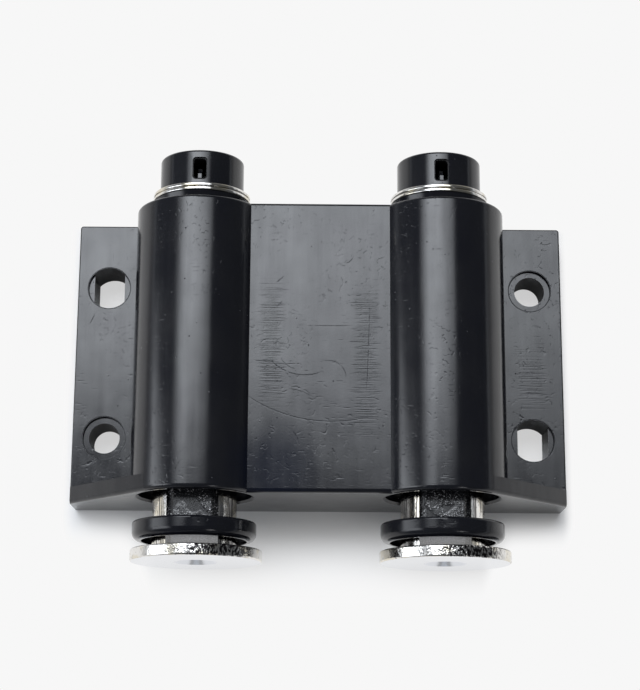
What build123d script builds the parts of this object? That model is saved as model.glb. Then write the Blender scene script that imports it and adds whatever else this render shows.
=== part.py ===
from build123d import *
import math
import os

# Double magnetic pressure catch: one moulded housing carries two spring-loaded plungers.
# Frame: millimetres, +Z up from the mounting face, -Y is the front where the strike plates sit.
# The origin is the centre of the housing's mounting face.

# ---------------------------------------------------------------- driving dimensions
# housing
body_width = 66.0
body_depth = 38.5
barrel_pitch = 32.0
axis_height = 12.0
barrel_radius = 8.5
web_height = 17.0
flange_height = 6.4
strip_depth = 2.2
front_edge_radius = 0.55
rear_edge_radius = 0.4
pad_edge_radius = 0.2
pad_corner_radius = 0.4
web_skin = 2.0
web_wall = 1.2
rib_thickness = 1.5
end_wall = 2.0
core_rows = 3

# screw holes
hole_spacing_y = 20.8
screw_hole_radius = 2.05
counterbore_radius = 2.85
counterbore_depth = 0.5

# barrels, inside
bore_radius = 7.35
bore_chamfer = 0.3
rear_wall = 2.3
boss_foot_radius = 5.95
boss_rim_radius = 6.4
boss_length = 1.3

# plunger
plunger_radius = 5.6
sleeve_wall = 1.1
sleeve_end_wall = 1.3
sleeve_edge_radius = 0.35
cap_overhang = 7.2
collar_gap = 3.3
guide_setback = 1.6
guide_length = 1.8
holder_length = 15.5
shaft_end_gap = 1.1
window_width = 1.95
window_length = 3.1
window_margin = 1.05
window_corner_radius = 0.45
window_step_width = 0.14
window_step_depth = 0.3
hook_arm_width = 0.5
hook_barb_width = 0.45
hook_catch_length = 0.6
hook_ramp_length = 1.0
hook_arm_length = 8.0
hook_arm_thickness = 1.2
hook_relief_width = 3.2
hook_relief_depth = 2.8

# magnet pack
plate_radius = 5.45
plate_inner_offset = 3.3
plate_end_margin = 0.5
magnet_half_height = 4.7
magnet_chamfer = 0.9
magnet_setback = 1.45
holder_web = 3.4
pin_radius = 0.8
pin_recess = 0.25

# collar
collar_radius = 8.0
collar_length = 2.4
collar_front_radius = 1.0
collar_rear_radius = 0.3
recess_radius = 6.8
recess_depth = 0.95
plate_protrusion = 1.15

# strike plate
strike_radius = 8.5
strike_thickness = 1.5
strike_edge_radius = 0.22
strike_shift = 0.3
strike_hole_radius = 1.7
countersink_radius = 2.8
countersink_depth = 1.0

# retaining ring
ring_inner_radius = 5.35
ring_outer_radius = 6.5
ring_turn_thickness = 0.47
ring_turn_pitch = 0.52
ring_edge_radius = 0.165
ring_jog_start = 165.0
ring_jog_angle = 28.0
ring_jog_steps = 6

# return spring
spring_wire_radius = 0.45
spring_mean_radius = 6.45
spring_turns = 9.5

# clearances
running_clearance = 0.1
seat_clearance = 0.05

# how far a cutting body runs past the face that it opens
overshoot = 1.0

# ---------------------------------------------------------------- derived places
half_depth = body_depth / 2
front_y = -half_depth
rear_y = half_depth
half_width = body_width / 2
strip_rear_y = front_y + strip_depth
inner_rear_y = rear_y - rear_wall
boss_end_y = rear_y + boss_length
cap_end_y = rear_y + cap_overhang
collar_rear_y = front_y - collar_gap
collar_front_y = collar_rear_y - collar_length
plate_front_y = collar_front_y - plate_protrusion
strike_front_y = plate_front_y - strike_thickness
magnet_front_y = plate_front_y + magnet_setback
guide_front_y = front_y + guide_setback
guide_rear_y = guide_front_y + guide_length
holder_rear_y = guide_front_y + holder_length
web_front_y = holder_rear_y - holder_web
ring_front_y = boss_end_y + seat_clearance
ring_length = ring_turn_pitch + ring_turn_thickness
sleeve_inner_radius = plunger_radius - sleeve_wall
shaft_radius = sleeve_inner_radius - running_clearance
shaft_rear_y = cap_end_y - sleeve_end_wall - shaft_end_gap
window_rear_y = cap_end_y - window_margin
window_front_y = window_rear_y - window_length
hook_front_y = window_front_y + window_step_width + running_clearance

SIDES = {"left": -1, "right": 1}


def rod(radius, y_start, y_end):
    """Solid cylinder about the local Y axis between two Y positions."""
    plane = Plane(origin=(0, y_start, 0), x_dir=(1, 0, 0), z_dir=(0, 1, 0))
    return extrude(plane * Circle(radius), y_end - y_start)


def tube(outer, inner, y_start, y_end):
    """Hollow cylinder about the local Y axis."""
    return rod(outer, y_start, y_end) - rod(inner, y_start, y_end)


def block(x_range, y_range, z_range):
    """Box given by its limits along the three axes."""
    size = [high - low for low, high in (x_range, y_range, z_range)]
    centre = [(low + high) / 2 for low, high in (x_range, y_range, z_range)]
    return Pos(*centre) * Box(*size)


def cone_rod(radius_start, radius_end, y_start, y_end):
    """Tapered rod about the local Y axis, for a chamfer or a countersink."""
    corners = [(0, y_start), (radius_start, y_start), (radius_end, y_end), (0, y_end)]
    return revolve(make_face(Polyline(*corners, close=True)), Axis.Y)


def plate_segment(margin, y_start, y_end, side):
    """Segment of a rod beyond a flat, on one side of the local axis, grown outwards by a margin."""
    radius = plate_radius + margin
    reach = radius + overshoot
    x_range = sorted((side * plate_inner_offset, side * reach))
    return rod(radius, y_start, y_end) & block(x_range, (y_start, y_end), (-reach, reach))


def magnet_block(margin, y_start, y_end):
    """Rectangular bar along Y with chamfered corners, grown sideways by a margin."""
    half_x = plate_inner_offset
    half_z = magnet_half_height + margin
    cut = magnet_chamfer
    section = Polyline(
        (half_x, half_z - cut),
        (half_x - cut, half_z),
        (cut - half_x, half_z),
        (-half_x, half_z - cut),
        (-half_x, cut - half_z),
        (cut - half_x, -half_z),
        (half_x - cut, -half_z),
        (half_x, cut - half_z),
        close=True,
    )
    plane = Plane(origin=(0, y_start, 0), x_dir=(1, 0, 0), z_dir=(0, -1, 0))
    return extrude(plane * make_face(section), -(y_end - y_start))


# ---------------------------------------------------------------- housing
def housing_section():
    """Cross-section of the housing: flat base, sides, slopes tangent to the barrels, flat web."""
    centre_x = barrel_pitch / 2
    run = half_width - centre_x
    rise = axis_height - flange_height
    distance = math.hypot(run, rise)
    slope = math.atan2(rise, run) + math.asin(barrel_radius / distance)
    tangent_x = centre_x + barrel_radius * math.sin(slope)
    tangent_z = axis_height + barrel_radius * math.cos(slope)
    web_x = centre_x - math.sqrt(barrel_radius ** 2 - (web_height - axis_height) ** 2)
    crown_z = axis_height + barrel_radius
    outline = [
        Line((-half_width, 0), (half_width, 0)),
        Line((half_width, 0), (half_width, flange_height)),
        Line((half_width, flange_height), (tangent_x, tangent_z)),
        ThreePointArc((tangent_x, tangent_z), (centre_x, crown_z), (web_x, web_height)),
        Line((web_x, web_height), (-web_x, web_height)),
        ThreePointArc((-web_x, web_height), (-centre_x, crown_z), (-tangent_x, tangent_z)),
        Line((-tangent_x, tangent_z), (-half_width, flange_height)),
        Line((-half_width, flange_height), (-half_width, 0)),
    ]
    return make_face(outline)


def front_strip():
    """Full cross-section along the front, with its upper edge rounded."""
    plane = Plane(origin=(0, front_y, 0), x_dir=(1, 0, 0), z_dir=(0, -1, 0))
    strip = extrude(plane * housing_section(), -strip_depth)
    front_face = strip.faces().sort_by(Axis.Y)[0]
    upper_edges = front_face.edges().filter_by(lambda edge: edge.center().Z > flange_height)
    return fillet(upper_edges, front_edge_radius)


def screw_pads():
    """Base plate behind the front strip, whose two ends are the screw pads."""
    base = block((-half_width, half_width), (strip_rear_y, rear_y), (0, flange_height))
    base = fillet(base.edges().filter_by(Axis.Z).group_by(Axis.Y)[-1], pad_corner_radius)
    top_edges = base.edges().group_by(Axis.Z)[-1]
    return fillet(top_edges.sort_by(Axis.Y)[1:], pad_edge_radius)


def middle_web():
    """Raised block between the barrels, rounded along its rear upper edge."""
    half_pitch = barrel_pitch / 2
    web = block((-half_pitch, half_pitch), (strip_rear_y, rear_y), (0, web_height))
    crosswise = web.edges().filter_by(Axis.X)
    upper_rear_edge = crosswise.sort_by(lambda edge: edge.center().Y + edge.center().Z)[-1]
    return fillet(upper_rear_edge, rear_edge_radius)


def barrel_shell(side):
    """Barrel behind the front strip, with an upright outer wall below its axis."""
    barrel = rod(barrel_radius, strip_rear_y, rear_y)
    barrel = fillet(barrel.edges().sort_by(Axis.Y)[-1], rear_edge_radius)
    wall = block(sorted((0, side * barrel_radius)), (strip_rear_y, rear_y), (-axis_height, 0))
    upright = wall.edges().filter_by(Axis.Z)
    outer_rear_edge = upright.sort_by(lambda edge: side * edge.center().X + edge.center().Y)[-1]
    wall = fillet(outer_rear_edge, rear_edge_radius)
    return Pos(side * barrel_pitch / 2, 0, axis_height) * (barrel + wall)


def screw_holes():
    """Two round holes and two slots in the middle of the pads, each with a shallow counterbore."""
    pad_inner_x = barrel_pitch / 2 + barrel_radius
    hole_x = (pad_inner_x + half_width) / 2
    floor_z = flange_height - counterbore_depth
    holes = []
    for side_x in (-1, 1):
        for side_y in (-1, 1):
            place = Pos(side_x * hole_x, side_y * hole_spacing_y / 2, 0)
            mouth = Pos(0, 0, floor_z) * extrude(Circle(counterbore_radius), counterbore_depth + overshoot)
            if side_x == side_y:
                shape = Circle(screw_hole_radius)
            else:
                shape = Circle(counterbore_radius) & Rectangle(2 * screw_hole_radius, 4 * counterbore_radius)
            through = Pos(0, 0, -overshoot) * extrude(shape, flange_height + overshoot)
            holes.append(place * (mouth + through))
    return holes


def web_cores():
    """Pockets that open at the mounting face under the web, with ribs between them."""
    half_core = barrel_pitch / 2 - barrel_radius - web_wall
    core_width = half_core - rib_thickness / 2
    core_span = body_depth - 2 * end_wall - (core_rows - 1) * rib_thickness
    core_length = core_span / core_rows
    cores = []
    for side in (-1, 1):
        for row in range(core_rows):
            low_y = front_y + end_wall + row * (core_length + rib_thickness)
            x_range = sorted((side * rib_thickness / 2, side * (rib_thickness / 2 + core_width)))
            y_range = (low_y, low_y + core_length)
            cores.append(block(x_range, y_range, (-overshoot, web_height - web_skin)))
    return cores


def build_housing():
    """Moulded body with two barrels, a web, screw pads and a cored underside."""
    body = front_strip() + screw_pads() + middle_web()
    body += [barrel_shell(side) for side in SIDES.values()]
    body -= screw_holes()
    body -= web_cores()
    for side in SIDES.values():
        place = Pos(side * barrel_pitch / 2, 0, axis_height)
        guide_radius = plunger_radius + running_clearance
        body += place * rod(boss_foot_radius, rear_y - rear_edge_radius, rear_y)
        body += place * cone_rod(boss_foot_radius, boss_rim_radius, rear_y, boss_end_y)
        body -= place * rod(bore_radius, front_y, inner_rear_y)
        body -= place * rod(guide_radius, inner_rear_y, boss_end_y)
        mouth_radius = bore_radius + bore_chamfer
        body -= place * cone_rod(mouth_radius, bore_radius, front_y, front_y + bore_chamfer)
    return body


# ---------------------------------------------------------------- plunger pieces, about the local Y axis
def window_opening(inset, floor_z):
    """Block that cuts the snap window down to a level, drawn in all round by an inset."""
    half_window = window_width / 2 - inset
    y_range = (window_front_y + inset, window_rear_y - inset)
    opening = block((-half_window, half_window), y_range, (floor_z, plunger_radius + overshoot))
    return fillet(opening.edges().filter_by(Axis.Z), window_corner_radius)


def build_sleeve():
    """Rear tube of the plunger: closed cap end, snap window on top, groove for the ring."""
    sleeve = rod(plunger_radius, holder_rear_y, cap_end_y)
    sleeve = fillet(sleeve.edges().sort_by(Axis.Y)[-1], sleeve_edge_radius)
    sleeve -= rod(sleeve_inner_radius, holder_rear_y, cap_end_y - sleeve_end_wall)
    groove_radius = ring_inner_radius - seat_clearance
    groove_front_y = ring_front_y - seat_clearance
    groove_rear_y = ring_front_y + ring_length + seat_clearance
    sleeve -= tube(plunger_radius + overshoot, groove_radius, groove_front_y, groove_rear_y)
    sleeve -= window_opening(0, plunger_radius - window_step_depth)
    return sleeve - window_opening(window_step_width, 0)


def build_holder():
    """Core of the plunger: guide flange, cheeks round the magnet pack, shaft with a snap hook."""
    core = rod(plunger_radius, guide_front_y, holder_rear_y)
    core += rod(bore_radius - running_clearance, guide_front_y, guide_rear_y)
    core += rod(shaft_radius, holder_rear_y, shaft_rear_y)
    pocket_rear_y = web_front_y + seat_clearance
    core -= magnet_block(seat_clearance, guide_front_y, pocket_rear_y)
    slot_rear_y = holder_rear_y - plate_end_margin + seat_clearance
    for side in SIDES.values():
        core -= plate_segment(seat_clearance, guide_front_y, slot_rear_y, side)
        gate = block(
            sorted((side * plate_inner_offset, side * (plunger_radius + overshoot))),
            (guide_rear_y, slot_rear_y),
            (-plunger_radius, plunger_radius),
        )
        core -= gate
    core -= cross_pin(seat_clearance)
    relief_y = (shaft_rear_y - hook_arm_length, shaft_rear_y)
    relief_floor = shaft_radius - hook_relief_depth
    half_relief = hook_relief_width / 2
    core -= block((-half_relief, half_relief), relief_y, (relief_floor, shaft_radius))
    return core + build_hook(relief_y)


def build_hook(relief_y):
    """Springy arm on the shaft whose barb stands in the sleeve's window."""
    arm_top = shaft_radius - running_clearance
    barb_top = plunger_radius - 2 * running_clearance
    catch_end = hook_front_y + hook_catch_length
    ramp_end = catch_end + hook_ramp_length
    arm_bottom = arm_top - hook_arm_thickness
    half_arm = hook_arm_width / 2
    arm = block((-half_arm, half_arm), (relief_y[0], ramp_end), (arm_bottom, arm_top))
    profile = Polyline(
        (hook_front_y, arm_bottom),
        (ramp_end, arm_bottom),
        (ramp_end, arm_top),
        (catch_end, barb_top),
        (hook_front_y, barb_top),
        close=True,
    )
    plane = Plane(origin=(-hook_barb_width / 2, 0, 0), x_dir=(0, 1, 0), z_dir=(1, 0, 0))
    return arm + extrude(plane * make_face(profile), hook_barb_width)


def cross_pin(margin):
    """Steel pin that ties both pole plates to the holder, behind the magnet."""
    middle_y = (web_front_y + holder_rear_y - plate_end_margin) / 2
    plane = Plane(origin=(0, middle_y, 0), x_dir=(0, 1, 0), z_dir=(1, 0, 0))
    half_length = plate_radius - pin_recess
    return extrude(plane * Circle(pin_radius + margin), half_length, both=True)


def build_pole_plate(side):
    """Steel plate with a round back that carries the magnet's pull to the strike plate."""
    plate = plate_segment(0, plate_front_y, holder_rear_y - plate_end_margin, side)
    return plate - cross_pin(0)


def build_magnet():
    """Ferrite bar between the two pole plates."""
    return magnet_block(0, magnet_front_y, web_front_y)


def build_collar():
    """Bumper ring with a rounded front edge and a dished face around the pole plates."""
    ring = rod(collar_radius, collar_front_y, collar_rear_y)
    ends = ring.edges().sort_by(Axis.Y)
    ring = fillet(ends[0], collar_front_radius)
    ring = fillet(ring.edges().sort_by(Axis.Y)[-1], collar_rear_radius)
    ring -= rod(recess_radius, collar_front_y, collar_front_y + recess_depth)
    ring -= magnet_block(seat_clearance, collar_front_y, collar_rear_y)
    for side in SIDES.values():
        ring -= plate_segment(seat_clearance, collar_front_y, collar_rear_y, side)
    return ring


def build_strike():
    """Steel disc that the magnet holds, with a countersunk screw hole."""
    disc = rod(strike_radius, strike_front_y, plate_front_y)
    disc = fillet(disc.edges(), strike_edge_radius)
    disc -= rod(strike_hole_radius, strike_front_y, plate_front_y)
    disc -= cone_rod(countersink_radius, strike_hole_radius, strike_front_y, strike_front_y + countersink_depth)
    return Pos(strike_shift, 0, 0) * disc


def ring_sector(start_angle, sweep_angle, level):
    """Flat wire turn from one angle to another, counted clockwise from the top as seen from the front."""
    low_y = ring_front_y + level
    strip = Rectangle(ring_turn_thickness, ring_outer_radius - ring_inner_radius)
    strip = fillet(strip.vertices(), ring_edge_radius)
    middle = (ring_inner_radius + ring_outer_radius) / 2
    section = Plane.YZ * Pos(low_y + ring_turn_thickness / 2, middle) * strip
    turned = Rot(0, start_angle, 0) * section
    return revolve(turned, Axis.Y, sweep_angle)


def build_ring():
    """Two-turn spiral retaining ring with one jog from the first turn to the second."""
    turn = 360 - ring_jog_angle
    first = ring_sector(ring_jog_start + ring_jog_angle, turn, 0)
    second = ring_sector(ring_jog_start + ring_jog_angle, turn, ring_turn_pitch)
    ring = first + second
    step_angle = ring_jog_angle / ring_jog_steps
    for step in range(ring_jog_steps):
        level = ring_turn_pitch * (step + 0.5) / ring_jog_steps
        ring += ring_sector(ring_jog_start + step_angle * step, step_angle, level)
    return ring


def build_spring():
    """Return spring between the holder's flange and the barrel's rear wall, ends ground flat."""
    start_y = guide_rear_y
    length = inner_rear_y - start_y
    helix = Helix(length / spring_turns, length, spring_mean_radius)
    wire = Plane(origin=helix @ 0, z_dir=helix % 0) * Circle(spring_wire_radius)
    coil = sweep(wire, path=helix, is_frenet=True)
    coil = Pos(0, start_y, 0) * Rot(-90, 0, 0) * coil
    reach = spring_mean_radius + 2 * spring_wire_radius
    seat_range = (start_y + seat_clearance, inner_rear_y - seat_clearance)
    return coil & block((-reach, reach), seat_range, (-reach, reach))


def build_all():
    """Every piece by its node name."""
    pieces = {"housing": build_housing()}
    for name, side in SIDES.items():
        place = Pos(side * barrel_pitch / 2, 0, axis_height)
        local = {
            "plunger_sleeve": build_sleeve(),
            "magnet_holder": build_holder(),
            "inner_pole_plate": build_pole_plate(-side),
            "outer_pole_plate": build_pole_plate(side),
            "magnet": build_magnet(),
            "plate_pin": cross_pin(0),
            "collar": build_collar(),
            "strike_plate": build_strike(),
            "retaining_ring": build_ring(),
            "return_spring": build_spring(),
        }
        for piece, shape in local.items():
            pieces[f"{name}_{piece}"] = place * shape
    return pieces


os.makedirs("parts", exist_ok=True)
for node, shape in build_all().items():
    export_step(shape, f"parts/{node}.step")
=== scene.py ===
import logging
import math
from dataclasses import dataclass
from enum import Enum
from functools import reduce
from typing import Any, Iterable, Sequence

import bpy
import numpy as np
from mathutils import Euler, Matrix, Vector


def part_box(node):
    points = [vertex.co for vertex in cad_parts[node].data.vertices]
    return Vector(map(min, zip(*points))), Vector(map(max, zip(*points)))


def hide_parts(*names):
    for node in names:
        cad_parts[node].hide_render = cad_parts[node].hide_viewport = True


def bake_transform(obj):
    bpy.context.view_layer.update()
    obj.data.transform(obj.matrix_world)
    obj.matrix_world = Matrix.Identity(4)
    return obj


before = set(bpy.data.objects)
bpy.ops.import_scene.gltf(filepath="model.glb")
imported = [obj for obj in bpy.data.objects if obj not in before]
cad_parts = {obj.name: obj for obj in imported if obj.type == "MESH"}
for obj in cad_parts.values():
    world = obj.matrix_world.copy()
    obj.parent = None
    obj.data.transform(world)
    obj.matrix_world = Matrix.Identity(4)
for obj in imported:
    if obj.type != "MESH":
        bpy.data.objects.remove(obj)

# Looks of a double magnetic pressure catch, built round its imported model.
#
# Everything is in metres in the model's own frame: +Z up from the mounting face, -Y the front where
# the strike plates sit, the origin on the mounting face. Sizes are written in millimetres and
# carried over with MM.

LOG = logging.getLogger("pressure_catch")
MM = 0.001
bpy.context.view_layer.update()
SEED_SHIFT = 0.01  # metres by which one step of a seed moves a pattern of cells

Socket = bpy.types.NodeSocket
Value = Any
Pair = tuple[float, float]
Triple = tuple[float, float, float]
Quad = tuple[float, float, float, float]
Colour = Quad


class Side(Enum):
    """The two plungers, with the sign of their place along X."""

    LEFT = -1
    RIGHT = 1

    @property
    def word(self) -> str:
        """The side's name as the nodes and bodies spell it."""
        return self.name.lower()


# ---- node trees
class Graph:
    """A material's or world's node tree, with short calls for what the finishes share."""

    def __init__(self, owner: bpy.types.Material | bpy.types.World) -> None:
        """Empties the owner's tree.

        Args:
            owner: The material or world whose nodes are made.
        """
        owner.use_nodes = True
        self.tree = owner.node_tree
        self.tree.nodes.clear()

    def add(
        self, kind: str, inputs: dict[str | int, Value] | None = None, **settings: Value
    ) -> bpy.types.Node:
        """Adds a node.

        Args:
            kind: The node type's name without its ShaderNode prefix.
            inputs: Values or sockets by input name or number.
            **settings: The node's own properties.

        Returns:
            The new node.
        """
        node = self.tree.nodes.new("ShaderNode" + kind)
        for name, value in settings.items():
            setattr(node, name, value)
        for key, value in (inputs or {}).items():
            self.feed(node.inputs[key], value)
        return node

    def feed(self, socket: Socket, value: Value) -> None:
        """Sets an input, or links it where the value is another node's output."""
        if isinstance(value, Socket):
            self.tree.links.new(value, socket)
        else:
            socket.default_value = value

    def math(self, operation: str, first: Value, second: Value = 0.0, clamp: bool = False) -> Socket:
        """One Math node's result."""
        node = self.add("Math", {0: first, 1: second}, operation=operation, use_clamp=clamp)
        return node.outputs[0]

    def vector(self, operation: str, first: Value, second: Value = (0.0, 0.0, 0.0)) -> Socket:
        """One Vector Math node's vector."""
        return self.add("VectorMath", {0: first, 1: second}, operation=operation).outputs[0]

    def join(self, operation: str, parts: Iterable[Socket]) -> Socket:
        """Several values brought to one, two by two, with the same Math operation."""
        return reduce(lambda total, part: self.math(operation, total, part), parts)

    def times(self, *parts: Value) -> Socket:
        """Product of several values."""
        return self.join("MULTIPLY", parts)

    def plus(self, *parts: Value) -> Socket:
        """Sum of several values."""
        return self.join("ADD", parts)

    def total(self, parts: Iterable[tuple[Socket, float]]) -> Socket:
        """Sum of several values, each times its own share."""
        return self.plus(*(self.times(value, share) for value, share in parts))

    def split(self, vector: Socket) -> tuple[Socket, ...]:
        """The three coordinates of a vector."""
        return tuple(self.add("SeparateXYZ", {0: vector}).outputs)

    def place(self, scale: Triple = (1, 1, 1), turn: float = 0.0, shift: Triple = (0, 0, 0)) -> Socket:
        """Object coordinates in metres, moved, turned about Z and stretched.

        Args:
            scale: Stretch along the three turned axes.
            turn: Angle about Z in degrees.
            shift: Shift in metres, added before the turn.

        Returns:
            The coordinate socket.
        """
        point = self.add("TexCoord").outputs["Object"]
        moved = self.vector("ADD", point, shift)
        angle = (0.0, 0.0, math.radians(turn))
        inputs = {"Vector": moved, "Rotation": angle, "Scale": scale}
        return self.add("Mapping", inputs, vector_type="POINT").outputs[0]

    def distance(self, point: Socket, centre: Sequence[float]) -> Socket:
        """Distance in metres between a point and a centre that is given in millimetres."""
        middle = tuple(size * MM for size in centre)
        node = self.add("VectorMath", {0: point, 1: middle}, operation="DISTANCE")
        return node.outputs["Value"]

    def from_axis(self, axis: Pair) -> Socket:
        """Distance in metres from a line along Y, whose places along X and Z are in millimetres."""
        return self.distance(self.place(scale=(1, 0, 1)), (axis[0], 0.0, axis[1]))

    def from_ring(self, point: Socket, centre: Sequence[float], radius: float) -> Socket:
        """Distance in metres between a point and a ring whose sizes are in millimetres."""
        out = self.distance(point, centre)
        return self.math("ABSOLUTE", self.math("SUBTRACT", out, radius * MM))

    def line(
        self, value: Value, low: float, high: float, start: float, end: float, kind: str = "LINEAR"
    ) -> Socket:
        """Straight ramp from start to end as the value goes from low to high, held at its ends."""
        inputs = {"Value": value, "From Min": low, "From Max": high, "To Min": start, "To Max": end}
        return self.add("MapRange", inputs, interpolation_type=kind).outputs[0]

    def step(self, value: Value, low: float, high: float, start: float = 0.0, end: float = 1.0) -> Socket:
        """Smooth step from start to end as the value goes from low to high."""
        return self.line(value, low, high, start, end, "SMOOTHSTEP")

    def blend(self, share: Value, first: Value, second: Value) -> Socket:
        """Mix of two colours by a share from 0 to 1."""
        node = self.add("Mix", {"Factor": share, 6: first, 7: second}, data_type="RGBA")
        return node.outputs[2]

    def dots(self, point: Socket, scale: float, size: Pair, kept: Pair) -> Socket:
        """Dots in the middles of a few cells.

        Args:
            point: Coordinates that the cells lie on.
            scale: Cells to each unit of those coordinates.
            size: Distances from a cell's middle at which its dot starts and is full.
            kept: Values of a cell's random red at which its dot starts to show and is full.

        Returns:
            The socket of the dots, 1 in the middle of a full dot.
        """
        cell = self.add("TexVoronoi", {"Vector": point, "Scale": scale}).outputs
        red = self.add("SeparateColor", {0: cell["Color"]}).outputs[0]
        return self.times(self.step(cell["Distance"], *size), self.step(red, *kept))

    def bump(self, height: Socket, depth: float) -> Socket:
        """Normal of a height field, of which 1 stands for a depth in millimetres."""
        inputs = {"Height": height, "Distance": depth * MM, "Strength": 1.0}
        return self.add("Bump", inputs).outputs[0]

    def surface(self, colour: Value, roughness: Value, normal: Socket, **others: Value) -> None:
        """Principled surface and the tree's output; others are more of the shader's sockets."""
        inputs = {"Base Color": colour, "Roughness": roughness, "Normal": normal}
        inputs |= {name.replace("_", " "): value for name, value in others.items()}
        shader = self.add("BsdfPrincipled", inputs)
        self.add("OutputMaterial", {"Surface": shader.outputs[0]})


@dataclass(frozen=True)
class Noise:
    """Pattern of a four-dimensional noise between 0 and 1, whose fourth coordinate is a seed."""

    scale: float = 1.0
    stretch: Triple = (1.0, 1.0, 1.0)
    detail: float = 2.0
    rough: float = 0.5
    seed_step: float = 0.0
    window: Pair = (0.3, 0.7)

    def value(self, graph: Graph, seed: float = 0.0) -> Socket:
        """The noise itself, at the seed and the pattern's own step from it."""
        inputs = {
            "Vector": graph.place(scale=self.stretch),
            "W": seed + self.seed_step,
            "Scale": self.scale,
            "Detail": self.detail,
            "Roughness": self.rough,
        }
        return graph.add("TexNoise", inputs, noise_dimensions="4D").outputs[0]

    def share(self, graph: Graph, seed: float = 0.0) -> Socket:
        """Smooth step from 0 to 1 as the noise goes through its window."""
        return graph.step(self.value(graph, seed), *self.window)


def grey(level: float) -> Colour:
    """Neutral colour of one level."""
    return (level, level, level, 1.0)


def rgb(red: float, green: float, blue: float) -> Colour:
    """Opaque colour from three linear levels."""
    return (red, green, blue, 1.0)


# ---- finishes
@dataclass(frozen=True)
class Finish:
    """Look of a surface, with the name of its material."""

    name: str

    def draw(self, graph: Graph) -> None:
        """Adds the finish's own nodes to an empty tree."""
        raise NotImplementedError

    def make(self) -> bpy.types.Material:
        """Builds the material.

        Returns:
            The material, ready to be put in an object's slots.
        """
        material = bpy.data.materials.new(self.name)
        self.draw(Graph(material))
        return material


@dataclass(frozen=True)
class Scratch:
    """One curved scratch through three points seen from above, in millimetres."""

    start: Pair
    middle: Pair
    end: Pair
    width: float = 0.05
    depth: float = 0.8
    full_within: float = 0.55

    def circle(self) -> tuple[np.ndarray, float]:
        """Centre and radius of the circle through the three points.

        The centre c solves 2 (m - s).c = m.m - s.s and 2 (e - s).c = e.e - s.s.

        Returns:
            The centre and the radius, in millimetres.
        """
        start, middle, end = (np.array(point) for point in (self.start, self.middle, self.end))
        sides = 2 * np.array([middle - start, end - start])
        values = np.array([middle @ middle - start @ start, end @ end - start @ start])
        centre = np.linalg.solve(sides, values)
        return centre, float(np.linalg.norm(start - centre))

    def groove(self, graph: Graph) -> Socket:
        """Groove along the arc, as deep as depth, fading beside it and towards its ends.

        The distance from the arc is the point's distance from the circle's centre less its radius.
        The fade goes by the distance from the scratch's middle, over the furthest end's distance.
        """
        centre, radius = self.circle()
        reach = max(math.dist(self.start, self.middle), math.dist(self.end, self.middle)) * MM
        flat = graph.place(scale=(1, 1, 0))
        beside = graph.from_ring(flat, (*centre, 0.0), radius)
        along = graph.distance(flat, (*self.middle, 0.0))
        ridge = graph.step(beside, self.width * MM, 0.0, 0.0, self.depth)
        return graph.times(ridge, graph.step(along, reach, reach * self.full_within))


@dataclass(frozen=True)
class DragBand:
    """Band where the moulding dragged on leaving its die, with ragged soft edges, in millimetres."""

    centre: Pair
    half_size: Pair
    edge: Pair = (0.9, 4.0)
    raggedness: float = 0.9
    pattern: Noise = Noise(stretch=(100, 2600, 100), rough=0.6)

    def mask(self, graph: Graph) -> Socket:
        """Share of the band at a point: the product of a smooth step along X and one along Y."""
        uneven = self.raggedness * MM
        ragged = graph.line(self.pattern.value(graph), *self.pattern.window, -uneven, uneven)
        shares = []
        point = graph.split(graph.place())
        for value, centre, size, edge in zip(point, self.centre, self.half_size, self.edge):
            offset = graph.math("ABSOLUTE", graph.math("SUBTRACT", value, centre * MM))
            offset = graph.plus(offset, ragged)
            shares.append(graph.step(offset, size * MM, (size - edge) * MM))
        return graph.times(*shares)


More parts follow.
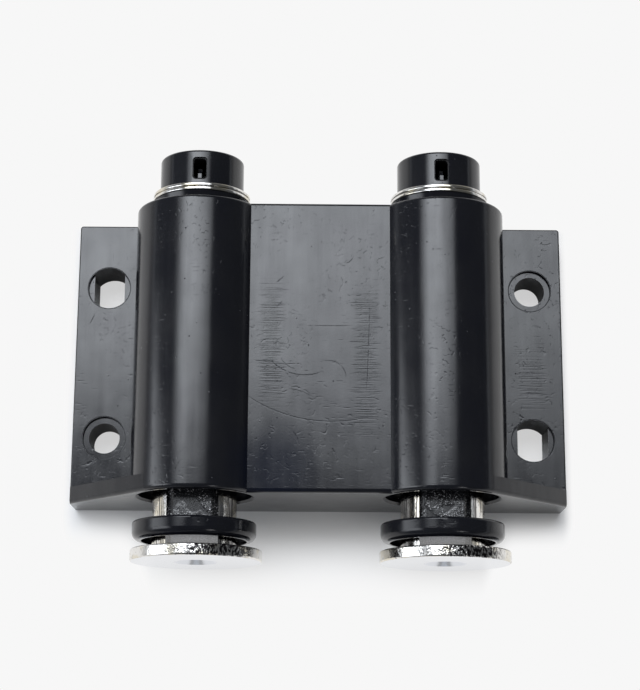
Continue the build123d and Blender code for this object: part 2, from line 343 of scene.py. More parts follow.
@dataclass(frozen=True)
class MouldedPlastic(Finish):
    """Black moulded plastic with a fine grain, flow streaks, rubbed patches, scratches and dust.

    Heights, depths and places are in millimetres. The plastic is rough and unpolished within
    matte_within of the line along Y through axis, and its colour there is darkened as painted shade.
    hole_edge is the place, mirrored both ways, and the radius of a pinched edge, and film_patch is
    the place of a painted reflection, darker, bluish and with less shine, then the distances from it
    at which it is full and ends.
    """

    colour: Colour = rgb(0.0062, 0.0067, 0.0096)
    worn_colour: Colour = rgb(0.0082, 0.0086, 0.0108)
    # Painted shade: the darker colour of the inside of the sleeve and the holder.
    matte_colour: Colour = rgb(0.002, 0.002, 0.003)
    dust_colour: Colour = rgb(0.07, 0.07, 0.075)
    # Painted reflection: the darker bluish tone of the web's front left.
    film_colour: Colour = rgb(0.0060, 0.0078, 0.0155)
    roughness: float = 0.15
    roughness_spread: float = 0.04
    smear_roughness: Pair = (-0.02, 0.03)
    dull_roughness: float = 0.22
    matte_roughness: float = 0.5
    specular: float = 0.5
    smear_shares: Pair = (0.90, 1.10)
    specular_spread: float = 0.025
    film_specular: float = 0.44
    seed: float = 0.0
    patches: Noise = Noise(210.0, (1, 0.6, 1), detail=3.0, rough=0.55, window=(0.35, 0.7))
    gloss_window: Pair = (0.3, 0.7)
    dust_share: float = 0.5
    streaks: Noise = Noise(stretch=(1500, 90, 1500), rough=0.6, seed_step=1)
    streak_height: float = 0.0022
    grain: Noise = Noise(4200.0, rough=0.6, seed_step=2)
    grain_height: float = 0.0016
    swell: Noise = Noise(380.0, (1, 0.7, 1), detail=1.0, seed_step=3, window=(0.35, 0.65))
    swell_height: float = 0.012
    smear: Noise = Noise(stretch=(620, 55, 620), rough=0.55, seed_step=4)
    smear_height: float = 0.006
    dash_sets: tuple[Triple, ...] = (
        (4, 1900, 320),
        (-38, 2100, 420),
        (66, 2000, 380),
        (95, 1900, 300),
    )
    dash_size: Pair = (0.22, 0.04)
    dash_kept: Pair = (0.62, 0.98)
    dash_patches: Noise = Noise(150.0, seed_step=21, window=(0.36, 0.58))
    dash_spread: Pair = (0.013, 300.0)
    dash_depth: float = 0.005
    dash_dulling: float = 0.4
    nick_lines: tuple[Noise, ...] = (
        Noise(420.0, detail=1.0, rough=0.4, seed_step=30),
        Noise(760.0, detail=1.0, rough=0.4, seed_step=31),
    )
    nick_width: Pair = (0.020, 0.004)
    nick_stretches: Noise = Noise(1500.0, detail=1.0, seed_step=2, window=(0.54, 0.64))
    nick_patches: Noise = Noise(110.0, seed_step=34, window=(0.40, 0.60))
    nick_depth: float = 0.008
    speck_size: Pair = (0.14, 0.05)
    speck_kept: Pair = (0.93, 0.95)
    dust_scale: float = 1100.0
    dust_height: float = 0.006
    pit_scale: float = 1250.0
    pit_depth: float = 0.020
    ripple: Noise = Noise(stretch=(150, 5200, 60), rough=0.6, seed_step=5, window=(0.38, 0.72))
    ripple_depth: float = 0.007
    ripple_dulling: float = 0.5
    drag_bands: tuple[DragBand, ...] = ()
    scratches: tuple[Scratch, ...] = ()
    scratch_breaks: Noise = Noise(1300.0, rough=0.6, seed_step=8, window=(0.28, 0.55))
    scratch_depth: float = 0.015
    scratch_dulling: float = 0.5
    hole_edge: Triple | None = None
    edge_width: Pair = (0.09, 0.02)
    edge_depth: float = 0.03
    axis: Pair = (0.0, 0.0)
    matte_within: float = 0.0
    matte_edge: float = 0.08
    film_patch: Quad | None = None

    def dashes(self, graph: Graph) -> Socket:
        """Sparse short scratches: dots of stretched cells, in sets.

        A set has its turn in degrees and the number of its cells to the metre across and along.
        The spread is the way in metres between the sets' patterns and the cells to the metre up.
        """
        apart, up = self.dash_spread
        sets = []
        for number, (turn, thin, long) in enumerate(self.dash_sets):
            shift = (apart * number, self.seed * SEED_SHIFT, 0.0)
            point = graph.place(scale=(long, thin, up), turn=turn, shift=shift)
            sets.append(graph.dots(point, 1.0, self.dash_size, self.dash_kept))
        patchy = self.dash_patches.share(graph, self.seed)
        return graph.times(graph.join("MAXIMUM", sets), patchy)

    def nicks(self, graph: Graph) -> Socket:
        """Short curved nicks: stretches of a noise's level lines, kept where a finer noise is high."""
        sets = []
        for pattern in self.nick_lines:
            level = graph.math("SUBTRACT", pattern.value(graph, self.seed), 0.5)
            line = graph.step(graph.math("ABSOLUTE", level), *self.nick_width)
            kept = self.nick_stretches.share(graph, self.seed + pattern.seed_step)
            sets.append(graph.times(line, kept))
        patchy = self.nick_patches.share(graph, self.seed)
        return graph.times(graph.join("MAXIMUM", sets), patchy)

    def specks(self, graph: Graph, scale: float) -> Socket:
        """Dust or pits: small dots in a few of many cells, moved apart by their scale."""
        point = graph.place(shift=(0.003, self.seed * SEED_SHIFT + scale * 1e-6, 0))
        return graph.dots(point, scale, self.speck_size, self.speck_kept)

    def drag(self, graph: Graph) -> Socket:
        """Ripples of all the drag bands together."""
        bands = graph.plus(*(band.mask(graph) for band in self.drag_bands))
        return graph.times(bands, self.ripple.share(graph, self.seed))

    def marks(self, graph: Graph) -> Socket:
        """Grooves of all the single scratches together, broken here and there."""
        grooves = graph.join("MAXIMUM", [scratch.groove(graph) for scratch in self.scratches])
        return graph.times(grooves, self.scratch_breaks.share(graph, self.seed))

    def edges(self, graph: Graph) -> Socket:
        """Pinched edge of the counterbores: a thin ring round the mirrored place."""
        across, along, radius = self.hole_edge
        beside = graph.vector("ABSOLUTE", graph.place(scale=(1, 1, 0)))
        offset = graph.from_ring(beside, (across, along, 0.0), radius)
        outer, inner = self.edge_width
        return graph.step(offset, outer * MM, inner * MM)

    def film(self, graph: Graph) -> Socket:
        """Share of the painted dark reflection at a point seen from above."""
        across, along, full, ended = self.film_patch
        out = graph.distance(graph.place(scale=(1, 1, 0)), (across, along, 0.0))
        return graph.step(out, ended * MM, full * MM)

    def matte(self, graph: Graph) -> Socket:
        """Share of the unpolished inside, darkened as painted shade: a smooth step of the distance from
        the axis.
        """
        edge = self.matte_within - self.matte_edge
        return graph.step(graph.from_axis(self.axis), self.matte_within * MM, edge * MM)

    def draw(self, graph: Graph) -> None:
        """Adds the plastic's nodes.

        A layer is a field of 0 to 1, its height and its dulling. The relief is the sum of the
        fields times their heights, and the roughness rises by the sum of the fields times their
        dulling.

        Args:
            graph: The material's empty tree.
        """
        patterns = (self.patches, self.streaks, self.swell, self.smear, self.grain)
        values = (pattern.value(graph, self.seed) for pattern in patterns)
        patches, streaks, swell, smear, grain = values
        dust = self.specks(graph, self.dust_scale)
        layers = [
            (grain, self.grain_height, 0.0),
            (swell, self.swell_height, 0.0),
            (streaks, self.streak_height, 0.0),
            (smear, self.smear_height, 0.0),
            (self.dashes(graph), -self.dash_depth, self.dash_dulling),
            (self.nicks(graph), -self.nick_depth, 0.0),
            (dust, self.dust_height, 1.0),
            (self.specks(graph, self.pit_scale), -self.pit_depth, 1.0),
        ]
        if self.drag_bands:
            layers.append((self.drag(graph), -self.ripple_depth, self.ripple_dulling))
        if self.hole_edge:
            layers.append((self.edges(graph), -self.edge_depth, 1.0))
        if self.scratches:
            layers.append((self.marks(graph), -self.scratch_depth, self.scratch_dulling))
        height = graph.total((field, rise) for field, rise, _ in layers)
        dull = graph.total((field, dulling) for field, _, dulling in layers if dulling)
        low, high = self.roughness - self.roughness_spread, self.roughness + self.roughness_spread
        rough = graph.line(patches, *self.gloss_window, low, high)
        uneven = graph.line(smear, *self.smear.window, *self.smear_roughness)
        rough = graph.plus(rough, uneven)
        dulled = graph.times(dull, self.dull_roughness)
        rough = graph.math("ADD", rough, dulled, clamp=True)
        worn = graph.step(patches, *self.patches.window)
        colour = graph.blend(worn, self.colour, self.worn_colour)
        if self.matte_within:
            matte = self.matte(graph)
            unpolished = graph.times(matte, self.matte_roughness)
            rough = graph.math("ADD", rough, unpolished, clamp=True)
            # Painted shade: the inside is darkened in colour as well as made rough.
            colour = graph.blend(matte, colour, self.matte_colour)
        dusty = graph.times(dust, self.dust_share)
        colour = graph.blend(dusty, colour, self.dust_colour)
        specular: Value = self.specular
        if self.film_patch:
            low, high = (share * self.specular for share in self.smear_shares)
            spread = self.specular_spread
            shine = graph.plus(
                graph.line(smear, *self.smear.window, low, high),
                graph.line(swell, *self.swell.window, -spread, spread),
                graph.line(streaks, *self.streaks.window, -spread, spread),
            )
            # Painted reflection: a darker, bluish patch with less shine on the web's front left.
            film = self.film(graph)
            specular = graph.times(shine, graph.line(film, 0.0, 1.0, 1.0, self.film_specular))
            colour = graph.blend(film, colour, self.film_colour)
        graph.surface(colour, rough, graph.bump(height, 1.0), Specular_IOR_Level=specular)


@dataclass(frozen=True)
class NickelPlate(Finish):
    """Bright nickel over sheared or rolled steel, with a pitted speckle and a drawn grain.

    Depths and places are in millimetres. The metal is rough beyond rough_from of the line along Y
    through axis, and smooth inside it; with rough_from at 0 it's rough all over. speckled is the
    stretch along X, counted from the axis, where the rough rim has dark burrs.
    """

    colour: Colour = rgb(0.80, 0.785, 0.76)
    warm_colour: Colour = rgb(0.74, 0.69, 0.58)
    face_colour: Colour = rgb(0.72, 0.735, 0.77)
    tarnish_colour: Colour = rgb(0.045, 0.042, 0.045)
    roughness: float = 0.09
    gloss_window: Pair = (0.3, 0.75)
    roughness_shares: Pair = (0.7, 2.0)
    seed: float = 0.0
    pits: Noise = Noise(3000.0, rough=0.7, window=(0.60, 0.70))
    pit_depth: float = 0.020
    drawn: Noise = Noise(stretch=(3200.0, 90.0, 3200.0), rough=0.6, seed_step=1, window=(0.50, 0.58))
    draw_depth: float = 0.004
    broad: Noise = Noise(420.0, seed_step=2, window=(0.45, 0.62))
    wave: Noise = Noise(900.0, detail=1.0, seed_step=3)
    wave_depth: float = 0.012
    burrs: Noise = Noise(2900.0, (1.5, 0.7, 1.5), detail=1.0, seed_step=4, window=(0.44, 0.52))
    burr_edges: Pair = (0.8, 1.2)
    tarnish_share: float = 0.85
    streak_share: float = 0.0
    axis: Pair = (0.0, 12.0)
    rough_from: float = 0.0
    rim_edge: float = 0.12
    face_relief: float = 0.03
    speckled: Pair = (0.0, 0.0)

    def speckles(self, graph: Graph) -> Socket:
        """Dark burrs in the plating over the speckled stretch, which fades out at both its ends."""
        (low, high), (low_edge, high_edge) = self.speckled, self.burr_edges
        across = graph.math("SUBTRACT", graph.split(graph.place())[0], self.axis[0] * MM)
        begun = graph.step(across, (low - low_edge) * MM, (low + low_edge) * MM)
        lasting = graph.step(across, (high + high_edge) * MM, (high - high_edge) * MM)
        stretch = graph.times(begun, lasting)
        return graph.times(self.burrs.share(graph, self.seed), stretch)

    def rim(self, graph: Graph) -> Socket:
        """Share of the rough rim at a point: a smooth step of the distance from the axis."""
        edge = self.rough_from + self.rim_edge
        return graph.step(graph.from_axis(self.axis), self.rough_from * MM, edge * MM)

    def draw(self, graph: Graph) -> None:
        """Adds the nickel's nodes to an empty tree."""
        pits = self.pits.value(graph, self.seed)
        drawn = self.drawn.value(graph, self.seed)
        wave = self.wave.value(graph, self.seed)
        layers = ((pits, self.pit_depth), (drawn, self.draw_depth), (wave, self.wave_depth))
        height = graph.total(layers)
        tarnish = graph.step(pits, *self.pits.window, 0.0, self.tarnish_share)
        warm = self.broad.share(graph, self.seed)
        bright: Value = self.colour
        if self.rough_from:
            rim = self.rim(graph)
            height = graph.times(height, graph.line(rim, 0.0, 1.0, self.face_relief, 1.0))
            tarnish = graph.times(tarnish, rim)
            warm = graph.times(warm, rim)
            bright = graph.blend(rim, self.face_colour, self.colour)
            burrs = graph.times(self.speckles(graph), rim)
            tarnish = graph.math("MAXIMUM", tarnish, burrs)
        if self.streak_share:
            streak = graph.step(drawn, *self.drawn.window, 0.0, self.streak_share)
            tarnish = graph.math("MAXIMUM", tarnish, streak)
        low, high = (self.roughness * share for share in self.roughness_shares)
        rough = graph.line(pits, *self.gloss_window, low, high)
        colour = graph.blend(warm, bright, self.warm_colour)
        colour = graph.blend(tarnish, colour, self.tarnish_colour)
        graph.surface(colour, rough, graph.bump(height, 1.0), Metallic=1.0)


@dataclass(frozen=True)
class SinteredFerrite(Finish):
    """Ground sintered magnet: near black and gritty, with glints painted on its grit as pale colour,
    and its front face ground smooth and painted paler as the light it reflects.

    front is the place of the front face along Y, and face_edge how far behind it the ground face
    ends and is full, in millimetres.
    """

    front: float
    face_edge: Pair = (0.12, 0.04)
    colour: Colour = rgb(0.008, 0.0085, 0.010)
    # Painted glints on the grit.
    painted_glint_colour: Colour = rgb(0.42, 0.42, 0.43)
    # Painted reflection: the front face's paler colour stands in for the light it reflects.
    face_colour: Colour = rgb(0.20, 0.20, 0.21)
    gloss_window: Pair = (0.3, 0.7)
    rough_range: Pair = (0.32, 0.14)
    seed: float = 0.0
    grit: Noise = Noise(5200.0, detail=1.0, rough=0.6, window=(0.585, 0.65))
    clusters: Noise = Noise(420.0, rough=0.6, seed_step=1, window=(0.44, 0.56))
    cluster_share: Pair = (0.05, 1.0)
    ground: Noise = Noise(stretch=(3000, 160, 3000), rough=0.6, seed_step=2)
    ground_share: float = 0.3
    face_relief: float = 0.1
    relief_depth: float = 0.05

    def draw(self, graph: Graph) -> None:
        """Adds the ferrite's nodes to an empty tree."""
        grit = self.grit.value(graph, self.seed)
        clusters = self.clusters.value(graph, self.seed)
        ground = self.ground.value(graph, self.seed)
        height = graph.total(((grit, 1.0), (ground, self.ground_share)))
        along = graph.split(graph.place())[1]
        ended, full = (self.front + depth for depth in self.face_edge)
        face = graph.step(along, ended * MM, full * MM)
        uneven = graph.line(clusters, *self.clusters.window, *self.cluster_share)
        smoothed = graph.line(face, 0.0, 1.0, 1.0, self.face_relief)
        height = graph.times(height, graph.times(uneven, smoothed))
        # Painted glints: pale colour on the grit's high points, where its clusters are.
        painted_glint = graph.times(graph.step(grit, *self.grit.window), uneven)
        colour = graph.blend(painted_glint, self.colour, self.painted_glint_colour)
        # Painted reflection: the front face is made paler in colour.
        colour = graph.blend(face, colour, self.face_colour)
        rough = graph.line(grit, *self.gloss_window, *self.rough_range)
        graph.surface(colour, rough, graph.bump(height, self.relief_depth))


@dataclass(frozen=True)
class PaperSweep(Finish):
    """Pale studio paper with the object's shadow beside it, white further off for rays that look at it.

    Sizes are in millimetres. Places along X and Y are counted from the middle of the housing's
    footprint, and both of its sides are alike.
    """

    name: str = "pale_paper"
    level: float = 0.93
    fibre: Noise = Noise(900.0, detail=3.0, rough=0.6)
    fibre_depth: float = 0.01
    fibre_contrast: float = 0.01
    reach: float = 12.0
    side_share: float = 0.16
    barrel_side: Pair = (22.0, 27.0)
    beside_barrels: float = 2.4
    hole_share: float = 0.6
    hole_strip: Pair = (24.5, 32.5)
    hole_reach: float = 14.0
    strip_edge: float = 0.1
    mirrored_reach: Pair = (60.0, 200.0)
    mirrored_loss: float = 0.55

    def under_holes(self, graph: Graph, beside: Socket) -> Socket:
        """Share of 1 on the two strips of floor under the screw holes, where painted light covers the
        shadow.
        """
        edge = self.strip_edge * MM
        near, far = (size * MM for size in self.hole_strip)
        across, along, _ = graph.split(beside)
        from_near = graph.step(across, near, near + edge)
        to_far = graph.step(across, far, far - edge)
        reach = self.hole_reach * MM
        return graph.times(from_near, to_far, graph.step(along, reach, reach - edge))

    def white(self, graph: Graph, centred: Socket, beside: Socket, half: Vector) -> Socket:
        """Share of the white: a smooth step of the weighted distance outside the footprint.

        The distance is the root of a squared plus b squared. a is the way past a side over
        side_share. b is the way past the front or the rear: over side_share at the rear, and times
        beside_barrels further out than the barrels.

        Args:
            graph: The material's tree.
            centred: Place on the floor, from the footprint's middle.
            beside: The same without its signs.
            half: Half the footprint's size, in metres.

        Returns:
            The socket of the share.
        """
        clear = graph.vector("MAXIMUM", graph.vector("SUBTRACT", beside, half))
        side, front, _ = graph.split(clear)
        side = graph.times(side, 1 / self.side_share)
        along = graph.split(centred)[1]
        rear_gain = graph.step(along, -MM, MM, 1.0, 1 / self.side_share)
        near, far = (size * MM for size in self.barrel_side)
        outer_gain = graph.step(graph.split(beside)[0], near, far, 1.0, self.beside_barrels)
        front = graph.times(front, rear_gain, outer_gain)
        squares = (graph.times(way, way) for way in (side, front))
        return graph.step(graph.math("SQRT", graph.plus(*squares)), 0.0, self.reach * MM)

    def glow(self, graph: Graph, mirrored: Socket) -> Socket:
        """Shader of the white, which is dimmer far off where another surface mirrors it."""
        out = graph.distance(graph.place(), (0.0, 0.0, 0.0))
        near, far = (size * MM for size in self.mirrored_reach)
        dim = graph.times(mirrored, graph.step(out, near, far, 0.0, self.mirrored_loss))
        level = graph.times(graph.math("SUBTRACT", 1.0, dim), self.level)
        return graph.add("Emission", {"Color": grey(1.0), "Strength": level}).outputs[0]

    def paper(self, graph: Graph) -> Socket:
        """Shader of the paper itself."""
        fibre = self.fibre.value(graph)
        low, high = (grey(self.level + sign * self.fibre_contrast) for sign in (-1, 1))
        normal = graph.bump(fibre, self.fibre_depth)
        colour = graph.blend(fibre, low, high)
        return graph.add("BsdfDiffuse", {"Color": colour, "Normal": normal}).outputs[0]

    def draw(self, graph: Graph) -> None:
        """Adds the paper's nodes to an empty tree, with the white and its share."""
        rays = graph.add("LightPath").outputs
        looks = ("Is Camera Ray", "Is Glossy Ray", "Is Transmission Ray")
        seen = graph.join("MAXIMUM", [rays[look] for look in looks])
        low, high = (Vector(corner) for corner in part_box("housing"))
        centred = graph.vector("SUBTRACT", graph.place(scale=(1, 1, 0)), (low + high) / 2)
        beside = graph.vector("ABSOLUTE", centred)
        white = self.white(graph, centred, beside, (high - low) / 2)
        # Painted light: camera rays see the floor under the screw holes partly white, in place of its
        # shadow.
        looked = graph.times(rays["Is Camera Ray"], self.hole_share)
        holes = graph.times(looked, self.under_holes(graph, beside))
        share = graph.math("MAXIMUM", graph.times(seen, white), holes)
        glow = self.glow(graph, rays["Is Glossy Ray"])
        mixed = graph.add("MixShader", {0: share, 1: self.paper(graph), 2: glow})
        graph.add("OutputMaterial", {"Surface": mixed.outputs[0]})


# ---- mesh helpers
def grid_faces(rows: int, columns: int, closed: bool = False) -> list[list[int]]:
    """Quads over a grid of points that are numbered row by row.

    A quad's corners are the point at its row and column, the next one in the row, and the two
    beside them in the next row.

    Args:
        rows: Number of rows of points.
        columns: Number of points in a row.
        closed: Whether each row's last point joins its first.

    Returns:
        Four point numbers for each quad.
    """
    row = np.arange(rows - 1)[:, None] * columns
    column = np.arange(columns if closed else columns - 1)[None, :]
    beyond = (column + 1) % columns
    corners = (row + column, row + beyond, row + columns + beyond, row + columns + column)
    return np.stack([corner.ravel() for corner in corners], axis=1).tolist()


def make_piece(
    name: str, points: np.ndarray, faces: list[list[int]], smooth: bool = True
) -> bpy.types.Object:
    """Turns points in millimetres and faces into an object at the origin.

    Args:
        name: The piece's name.
        points: One row of three coordinates for each point, in millimetres.
        faces: The point numbers of each face.
        smooth: Whether the faces are shaded smooth.

    Returns:
        The new object, linked to the scene.
    """
    mesh = bpy.data.meshes.new(name)
    mesh.from_pydata((points * MM).tolist(), [], faces)
    mesh.polygons.foreach_set("use_smooth", np.full(len(mesh.polygons), smooth))
    mesh.update()
    piece = bpy.data.objects.new(name, mesh)
    bpy.context.scene.collection.objects.link(piece)
    return piece


def dress(piece: bpy.types.Object, material: bpy.types.Material) -> None:
    """Puts one material in every slot of an object."""
    slots = piece.data.materials
    if not slots:
        slots.append(material)
    for number in range(len(slots)):
        slots[number] = material


# ---- sub-assemblies
HOUSING_SCRATCHES = (
    Scratch((-5.6, -2.7), (-3.4, -3.8), (0.6, -3.4), depth=1.3),
    Scratch((-3.3, -5.9), (-2.2, -6.2), (-0.5, -7.1)),
    Scratch((-4.9, -9.0), (-2.4, -9.7), (7.0, -9.3), width=0.09),
    Scratch((-3.7, -11.1), (-3.1, -11.7), (-2.6, -13.6), depth=0.7),
    Scratch((-8.5, -2.1), (-6.9, -2.14), (-5.2, -2.0), depth=0.7),
    Scratch((-3.3, 2.6), (0.7, 2.57), (4.6, 2.6), depth=0.6),
    Scratch((-5.7, 8.3), (-5.2, 8.75), (-4.8, 9.1), width=0.07, depth=1.0),
    Scratch((-5.7, 5.0), (-5.25, 5.4), (-4.9, 5.9), depth=1.0),
    Scratch((6.5, 6.1), (6.3, -0.6), (6.0, -7.5), width=0.06, depth=1.0),
    Scratch((3.4, 11.0), (4.0, 11.4), (4.5, 12.1), width=0.07, depth=1.0),
    Scratch((0.3, -2.2), (2.6, -2.6), (3.2, -5.4), depth=0.6),
    Scratch((-31.3, 5.3), (-30.9, 6.0), (-30.6, 6.8), depth=0.9),
    Scratch((-28.3, 16.4), (-28.33, 15.2), (-28.3, 14.0), width=0.09, depth=0.6),
)
HOUSING_DRAG_BANDS = (
    DragBand((-6.2, 0.2), (1.6, 9.5)),
    DragBand((6.0, -2.0), (1.7, 11.0)),
    DragBand((28.9, -2.2), (2.0, 5.0)),
)


@dataclass
class Housing:
    """Moulded body with its two barrels."""

    plastic: MouldedPlastic = MouldedPlastic(
        "housing_black",
        seed=1.0,
        scratches=HOUSING_SCRATCHES,
        drag_bands=HOUSING_DRAG_BANDS,
        hole_edge=(28.75, 10.4, 2.88),
        film_patch=(-5.6, -15.6, 1.5, 7.5),
    )

    def build(self) -> None:
        """Dresses the housing."""
        dress(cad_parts["housing"], self.plastic.make())


@dataclass
class ReturnSpring:
    """Coil spring between a plunger's flange and its barrel's rear wall, shortened as it goes in."""

    side: Side
    wire_radius: float = 0.45
    mean_radius: float = 6.45
    turns: float = 9.5
    points_per_turn: int = 40
    points_round: int = 12

    @property
    def rows(self) -> int:
        """Number of circles of points along the wire."""
        return round(self.turns * self.points_per_turn) + 1

    def build(self) -> None:
        """Makes the coil in the place of its node and lets its front end follow the plunger."""
        node = f"{self.side.word}_return_spring"
        low, high = (np.array(corner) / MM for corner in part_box(node))
        coil = make_piece(f"{self.side.word}_return_coil", self.points(low, high), self.faces())
        dress(coil, NickelPlate(f"{node}_wire", roughness=0.2, seed=4.0 + self.side.value).make())
        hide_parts(node)
        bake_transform(coil)

    def points(self, low: np.ndarray, high: np.ndarray) -> np.ndarray:
        """Points of the wire's surface, row by row along the wire.

        The centre line is a helix about Y: at share u of its length the turn is 2 pi u times the
        number of turns, and the way along the axis is u of the space between the ends. A circle of
        the wire's radius stands square to the line, on the outward direction and the cross product
        of the line's direction with it.

        Args:
            low: Lowest corner of the space for the spring, in millimetres.
            high: Highest corner of that space, in millimetres.

        Returns:
            One row of three coordinates for each point, in millimetres.
        """
        share = np.linspace(0.0, 1.0, self.rows)[:, None]
        turn = 2 * np.pi * self.turns * share
        start, length = low[1] + self.wire_radius, high[1] - low[1] - 2 * self.wire_radius
        zero = np.zeros_like(turn)
        outward = np.hstack([np.cos(turn), zero, -np.sin(turn)])
        centre = self.mean_radius * outward + np.hstack([zero, start + length * share, zero])
        centre += np.array([(low[0] + high[0]) / 2, 0.0, (low[2] + high[2]) / 2])
        sweep = 2 * np.pi * self.turns * self.mean_radius
        ahead = np.hstack([-sweep * np.sin(turn), zero + length, -sweep * np.cos(turn)])
        ahead /= np.linalg.norm(ahead, axis=1, keepdims=True)
        beside = np.cross(ahead, outward)
        angle = np.linspace(0.0, 2 * np.pi, self.points_round, endpoint=False)[None, :, None]
        circle = np.cos(angle) * outward[:, None] + np.sin(angle) * beside[:, None]
        return (centre[:, None] + self.wire_radius * circle).reshape(-1, 3)

    def faces(self) -> list[list[int]]:
        """Faces of the wire's surface, closed by a cap at each end."""
        around = list(range(self.points_round))
        last = (self.rows - 1) * self.points_round
        caps = [around[::-1], [last + number for number in around]]
        return grid_faces(self.rows, self.points_round, closed=True) + caps


@dataclass
class Plunger:
    """One spring-loaded plunger with its magnet pack, collar, strike plate and retaining ring.

    The radii within which the plastic is unpolished and its colour darkened as painted shade, and
    beyond which the strike plate is rough, are in millimetres.
    """

    side: Side
    sleeve_matte_and_shade: float = 5.46
    holder_matte_and_shade: float = 4.95
    strike_rim: float = 8.25
    strike_burrs: Pair = (-0.6, 6.4)

    def axis(self, node: str) -> Pair:
        """Place across and above the floor of a round node's axis along Y, in millimetres."""
        low, high = (np.array(corner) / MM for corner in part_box(f"{self.side.word}_{node}"))
        return float(low[0] + high[0]) / 2, float(low[2] + high[2]) / 2

    def plastics(self, seed: float) -> dict[str, Finish]:
        """Finishes of the plastic nodes, by the node's name without its side."""
        word = self.side.word
        axis = self.axis("plunger_sleeve")
        return {
            "plunger_sleeve": MouldedPlastic(
                f"{word}_sleeve_black",
                seed=seed,
                roughness=0.13,
                axis=axis,
                matte_within=self.sleeve_matte_and_shade,
            ),
            "magnet_holder": MouldedPlastic(
                f"{word}_holder_black", seed=seed + 2, axis=axis, matte_within=self.holder_matte_and_shade
            ),
            "collar": MouldedPlastic(
                f"{word}_collar_black", seed=seed + 4, roughness=0.12, specular=0.35
            ),
        }

    def metals(self, seed: float) -> dict[str, Finish]:
        """Finishes of the metal nodes and the magnet, by the node's name without its side."""
        word = self.side.word
        drawn = {"draw_depth": 0.018, "streak_share": 0.8}
        magnet_front = float(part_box(f"{word}_magnet")[0][1]) / MM
        return {
            "inner_pole_plate": NickelPlate(f"{word}_inner_plate_nickel", seed=seed, **drawn),
            "outer_pole_plate": NickelPlate(f"{word}_outer_plate_nickel", seed=seed + 3, **drawn),
            "magnet": SinteredFerrite(f"{word}_ferrite", magnet_front, seed=seed),
            "plate_pin": NickelPlate(f"{word}_pin_steel", seed=seed + 5),
            "strike_plate": NickelPlate(
                f"{word}_strike_nickel",
                seed=seed + 6,
                axis=self.axis("strike_plate"),
                rough_from=self.strike_rim,
                pit_depth=0.035,
                speckled=self.strike_burrs,
                roughness=0.07,
            ),
            "retaining_ring": NickelPlate(f"{word}_ring_nickel", seed=seed + 7, pit_depth=0.004),
        }

    def build(self) -> None:
        """Dresses the plunger's nodes."""
        seed = 10.0 + self.side.value
        for node, finish in (self.plastics(seed) | self.metals(seed)).items():
            dress(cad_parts[f"{self.side.word}_{node}"], finish.make())


# ---- studio
@dataclass(frozen=True)
class Lamp:
    """Rectangular area lamp that faces the origin, with its place and size in metres."""

    name: str
    centre: Triple
    size: Pair
    brightness: float
    mirrored: bool = True

    def build(self) -> None:
        """Adds the lamp; its power is brightness times pi times its area."""
        lamp = bpy.data.lights.new(self.name, "AREA")
        lamp.shape = "RECTANGLE"
        lamp.size, lamp.size_y = self.size
        lamp.energy = self.brightness * math.pi * self.size[0] * self.size[1]
        holder = bpy.data.objects.new(self.name, lamp)
        holder.location = self.centre
        holder.rotation_mode = "QUATERNION"
        holder.rotation_quaternion = Vector(self.centre).to_track_quat("Z", "Y")
        holder.visible_camera = False
        holder.visible_glossy = self.mirrored
        bpy.context.scene.collection.objects.link(holder)


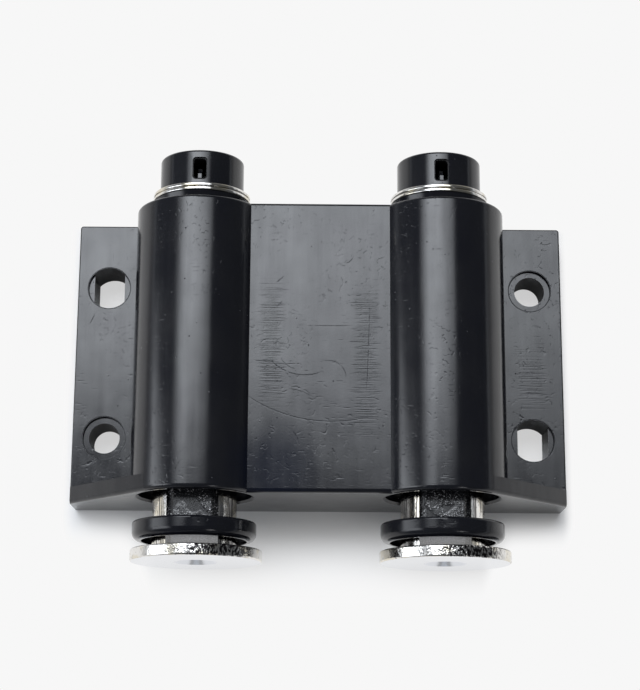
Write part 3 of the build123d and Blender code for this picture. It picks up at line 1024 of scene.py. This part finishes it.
@dataclass(frozen=True)
class Softboxes:
    """Soft light of the room as a function of direction: two softboxes, dim walls, a pale horizon.

    A direction is given by its turn, the angle from straight up towards +X in degrees, and its
    lean, the rearward part over the part across the Y axis. A pair of turns, leans or heights is
    where a smooth step starts and ends.
    """

    top_level: float = 6.8
    top_left: Pair = (-43.0, -20.0)
    top_right: Pair = (26.0, 18.0)
    top_peak: float = -5.0
    top_fall: float = 0.38
    top_front: Pair = (0.157, 0.25)
    top_front_power: float = 0.75
    top_slant: float = 0.0018
    top_notch: float = 0.036
    notch_left: Pair = (-18.0, -9.0)
    notch_right: Pair = (3.0, -3.0)
    top_rear: Pair = (0.78, 0.55)
    side_level: float = 3.3
    side_start: float = 0.148
    side_slant: float = 0.0038
    side_corner: float = -57.0
    side_right: Pair = (0.05, -0.04)
    side_left: Pair = (-89.0, -76.0)
    side_front: Pair = (-0.5, -0.2)
    side_end: Pair = (-38.0, -52.0)
    wall_turn: Pair = (-20.0, -48.0)
    wall_levels: Pair = (0.085, 0.17)
    horizon_height: Pair = (0.13, 0.05)
    horizon_level: float = 0.6
    tint: Colour = rgb(0.955, 1.0, 1.06)

    def top(self, graph: Graph, turn: Socket, lean: Socket) -> Socket:
        """Large overhead softbox: brightest left of its middle, with a soft slanting front edge."""
        across = graph.line(turn, self.top_peak, self.top_right[1], 1.0, self.top_fall)
        low, high = self.top_front
        slant = graph.times(graph.math("MINIMUM", turn, 0.0), self.top_slant)
        notch_right = graph.step(turn, *self.notch_right, 0.0, self.top_notch)
        notch = graph.times(graph.step(turn, *self.notch_left), notch_right)
        edge = graph.plus(slant, low, notch)
        over = graph.math("SUBTRACT", lean, edge)
        front = graph.math("DIVIDE", over, graph.math("SUBTRACT", high, edge), clamp=True)
        shares = (
            graph.step(turn, *self.top_left),
            graph.step(turn, *self.top_right),
            across,
            graph.math("POWER", front, self.top_front_power),
            graph.step(lean, *self.top_rear),
        )
        return graph.times(*shares, self.top_level)

    def side(self, graph: Graph, turn: Socket, lean: Socket) -> Socket:
        """Low softbox on the left, whose rear edge slants down towards the object."""
        corner = graph.math("SUBTRACT", self.side_corner, turn)
        slant = graph.times(corner, self.side_slant)
        beyond = graph.math("SUBTRACT", graph.math("SUBTRACT", lean, slant), self.side_start)
        shares = (
            graph.step(beyond, *self.side_right),
            graph.step(turn, *self.side_left),
            graph.step(lean, *self.side_front),
            graph.step(turn, *self.side_end),
        )
        return graph.times(*shares, self.side_level)

    def build(self) -> None:
        """Makes the world."""
        world = bpy.data.worlds.new("studio_room")
        bpy.context.scene.world = world
        graph = Graph(world)
        x, y, z = graph.split(graph.add("TexCoord").outputs["Generated"])
        turn = graph.times(graph.math("ARCTAN2", x, z), math.degrees(1.0))
        squares = (graph.times(part, part) for part in (x, z))
        across = graph.math("SQRT", graph.plus(*squares))
        lean = graph.math("DIVIDE", y, across)
        walls = graph.step(turn, *self.wall_turn, *self.wall_levels)
        horizon = graph.step(z, *self.horizon_height, 0.0, self.horizon_level)
        room = graph.math("MAXIMUM", walls, horizon)
        boxes = (self.top(graph, turn, lean), self.side(graph, turn, lean))
        level = graph.plus(*boxes, room)
        back = graph.add("Background", {"Color": self.tint, "Strength": level})
        graph.add("OutputWorld", {"Surface": back.outputs[0]})


@dataclass
class Studio:
    """Floor, light, surroundings and camera.

    The floor's reach and the near clip are in metres, the camera's place is in millimetres and its
    turn in radians.
    """

    floor_reach: float = 4.0
    floor_points: int = 9
    lens: float = 87.51
    near_clip: float = 0.01
    camera_place: Triple = (-1.248, -52.02, 227.45)
    camera_turn: Triple = (0.2422, -0.0075, 0.0058)
    lamps: tuple[Lamp, ...] = (
        Lamp("ceiling_glow", (-0.05, 0.05, 0.90), (1.3, 1.3), 0.5, mirrored=False),
        Lamp("front_right_lamp", (0.34, -0.55, 0.42), (0.16, 0.16), 3.0),
    )

    def build(self) -> None:
        """Makes the whole set."""
        self.make_floor()
        Softboxes().build()
        for lamp in self.lamps:
            lamp.build()
        self.make_camera()

    def make_floor(self) -> None:
        """Level paper under the object, as a grid of two parameters."""
        reach = self.floor_reach / MM
        steps = np.linspace(-reach, reach, self.floor_points)
        across, along = np.meshgrid(steps, steps)
        points = np.stack([across.ravel(), along.ravel(), np.zeros(across.size)], axis=1)
        faces = grid_faces(self.floor_points, self.floor_points)
        floor = make_piece("floor", points, faces, smooth=False)
        dress(floor, PaperSweep().make())

    def make_camera(self) -> None:
        """Camera above and in front, looking steeply down."""
        data = bpy.data.cameras.new("camera")
        data.lens = self.lens
        data.clip_start = self.near_clip
        camera = bpy.data.objects.new("camera", data)
        camera.location = Vector(self.camera_place) * MM
        camera.rotation_euler = Euler(self.camera_turn)
        bpy.context.scene.collection.objects.link(camera)
        bpy.context.scene.camera = camera


def main() -> None:
    """Builds the sub-assemblies and the studio in order."""
    logging.basicConfig(level=logging.INFO)
    bpy.context.scene.view_settings.view_transform = "Standard"
    Housing().build()
    LOG.info("housing dressed")
    for side in Side:
        Plunger(side).build()
        LOG.info("%s plunger dressed", side.word)
        ReturnSpring(side).build()
        LOG.info("%s return spring built", side.word)
    Studio().build()
    LOG.info("studio built")


if __name__ == "__main__":
    main()
